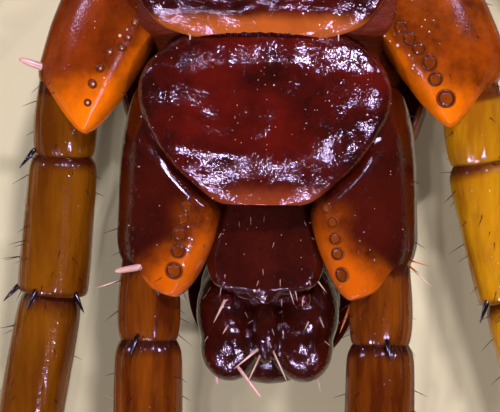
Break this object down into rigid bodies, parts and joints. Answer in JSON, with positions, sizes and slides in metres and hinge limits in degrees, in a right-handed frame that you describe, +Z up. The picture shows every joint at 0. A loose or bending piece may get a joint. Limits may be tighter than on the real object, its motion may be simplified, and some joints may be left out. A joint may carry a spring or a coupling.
{
  "type": "centipede",
  "caption": "Life-size brown stone centipede lying on its back, belly up, with jointed legs, long feelers and poison fangs.",
  "frame": {"origin": "On the floor, on the flat of the seventh back plate, under the midline where the seventh and eighth belly plates meet.", "axes": "+Y along the body towards the head, +Z up out of the belly, +X to the right of the picture; the back rests on the floor at z = 0."},
  "size_m": [0.0135, 0.0503, 0.0019],
  "materials": {
    "chestnut_cuticle": "glossy reddish chestnut horny skin",
    "amber_cuticle": "glossy translucent amber horny skin",
    "eye_black": "glossy black"
  },
  "bodies": {
    "root": {"antenna_left": "amber_cuticle", "antenna_right": "amber_cuticle", "eye_left": "eye_black", "eye_right": "eye_black", "forcipular_segment": "chestnut_cuticle", "forcipule_left": "chestnut_cuticle", "forcipule_right": "chestnut_cuticle", "head": "chestnut_cuticle", "leg_01_left": "amber_cuticle", "leg_01_right": "amber_cuticle", "leg_02_left": "amber_cuticle", "leg_02_right": "amber_cuticle", "leg_03_left": "amber_cuticle", "leg_03_right": "amber_cuticle", "leg_04_left": "amber_cuticle", "leg_04_right": "amber_cuticle", "leg_05_left": "amber_cuticle", "leg_05_right": "amber_cuticle", "leg_06_left": "amber_cuticle", "leg_06_right": "amber_cuticle", "leg_07_left": "amber_cuticle", "leg_07_right": "amber_cuticle", "leg_08_left": "amber_cuticle", "leg_08_right": "amber_cuticle", "leg_09_left": "amber_cuticle", "leg_09_right": "amber_cuticle", "leg_10_left": "amber_cuticle", "leg_10_right": "amber_cuticle", "leg_11_left": "amber_cuticle", "leg_11_right": "amber_cuticle", "leg_12_left": "amber_cuticle", "leg_12_right": "amber_cuticle", "leg_13_left": "amber_cuticle", "leg_13_right": "amber_cuticle", "leg_14_left": "amber_cuticle", "leg_14_right": "amber_cuticle", "leg_15_left": "amber_cuticle", "leg_15_right": "amber_cuticle", "mouthparts": "amber_cuticle", "segment_01": "chestnut_cuticle", "segment_02": "chestnut_cuticle", "segment_03": "chestnut_cuticle", "segment_04": "chestnut_cuticle", "segment_05": "chestnut_cuticle", "segment_06": "chestnut_cuticle", "segment_07": "chestnut_cuticle", "segment_08": "chestnut_cuticle", "segment_09": "chestnut_cuticle", "segment_10": "chestnut_cuticle", "segment_11": "chestnut_cuticle", "segment_12": "chestnut_cuticle", "segment_13": "chestnut_cuticle", "segment_14": "chestnut_cuticle", "segment_15": "chestnut_cuticle", "terminal_segments": "chestnut_cuticle"}
  },
  "joints": []
}
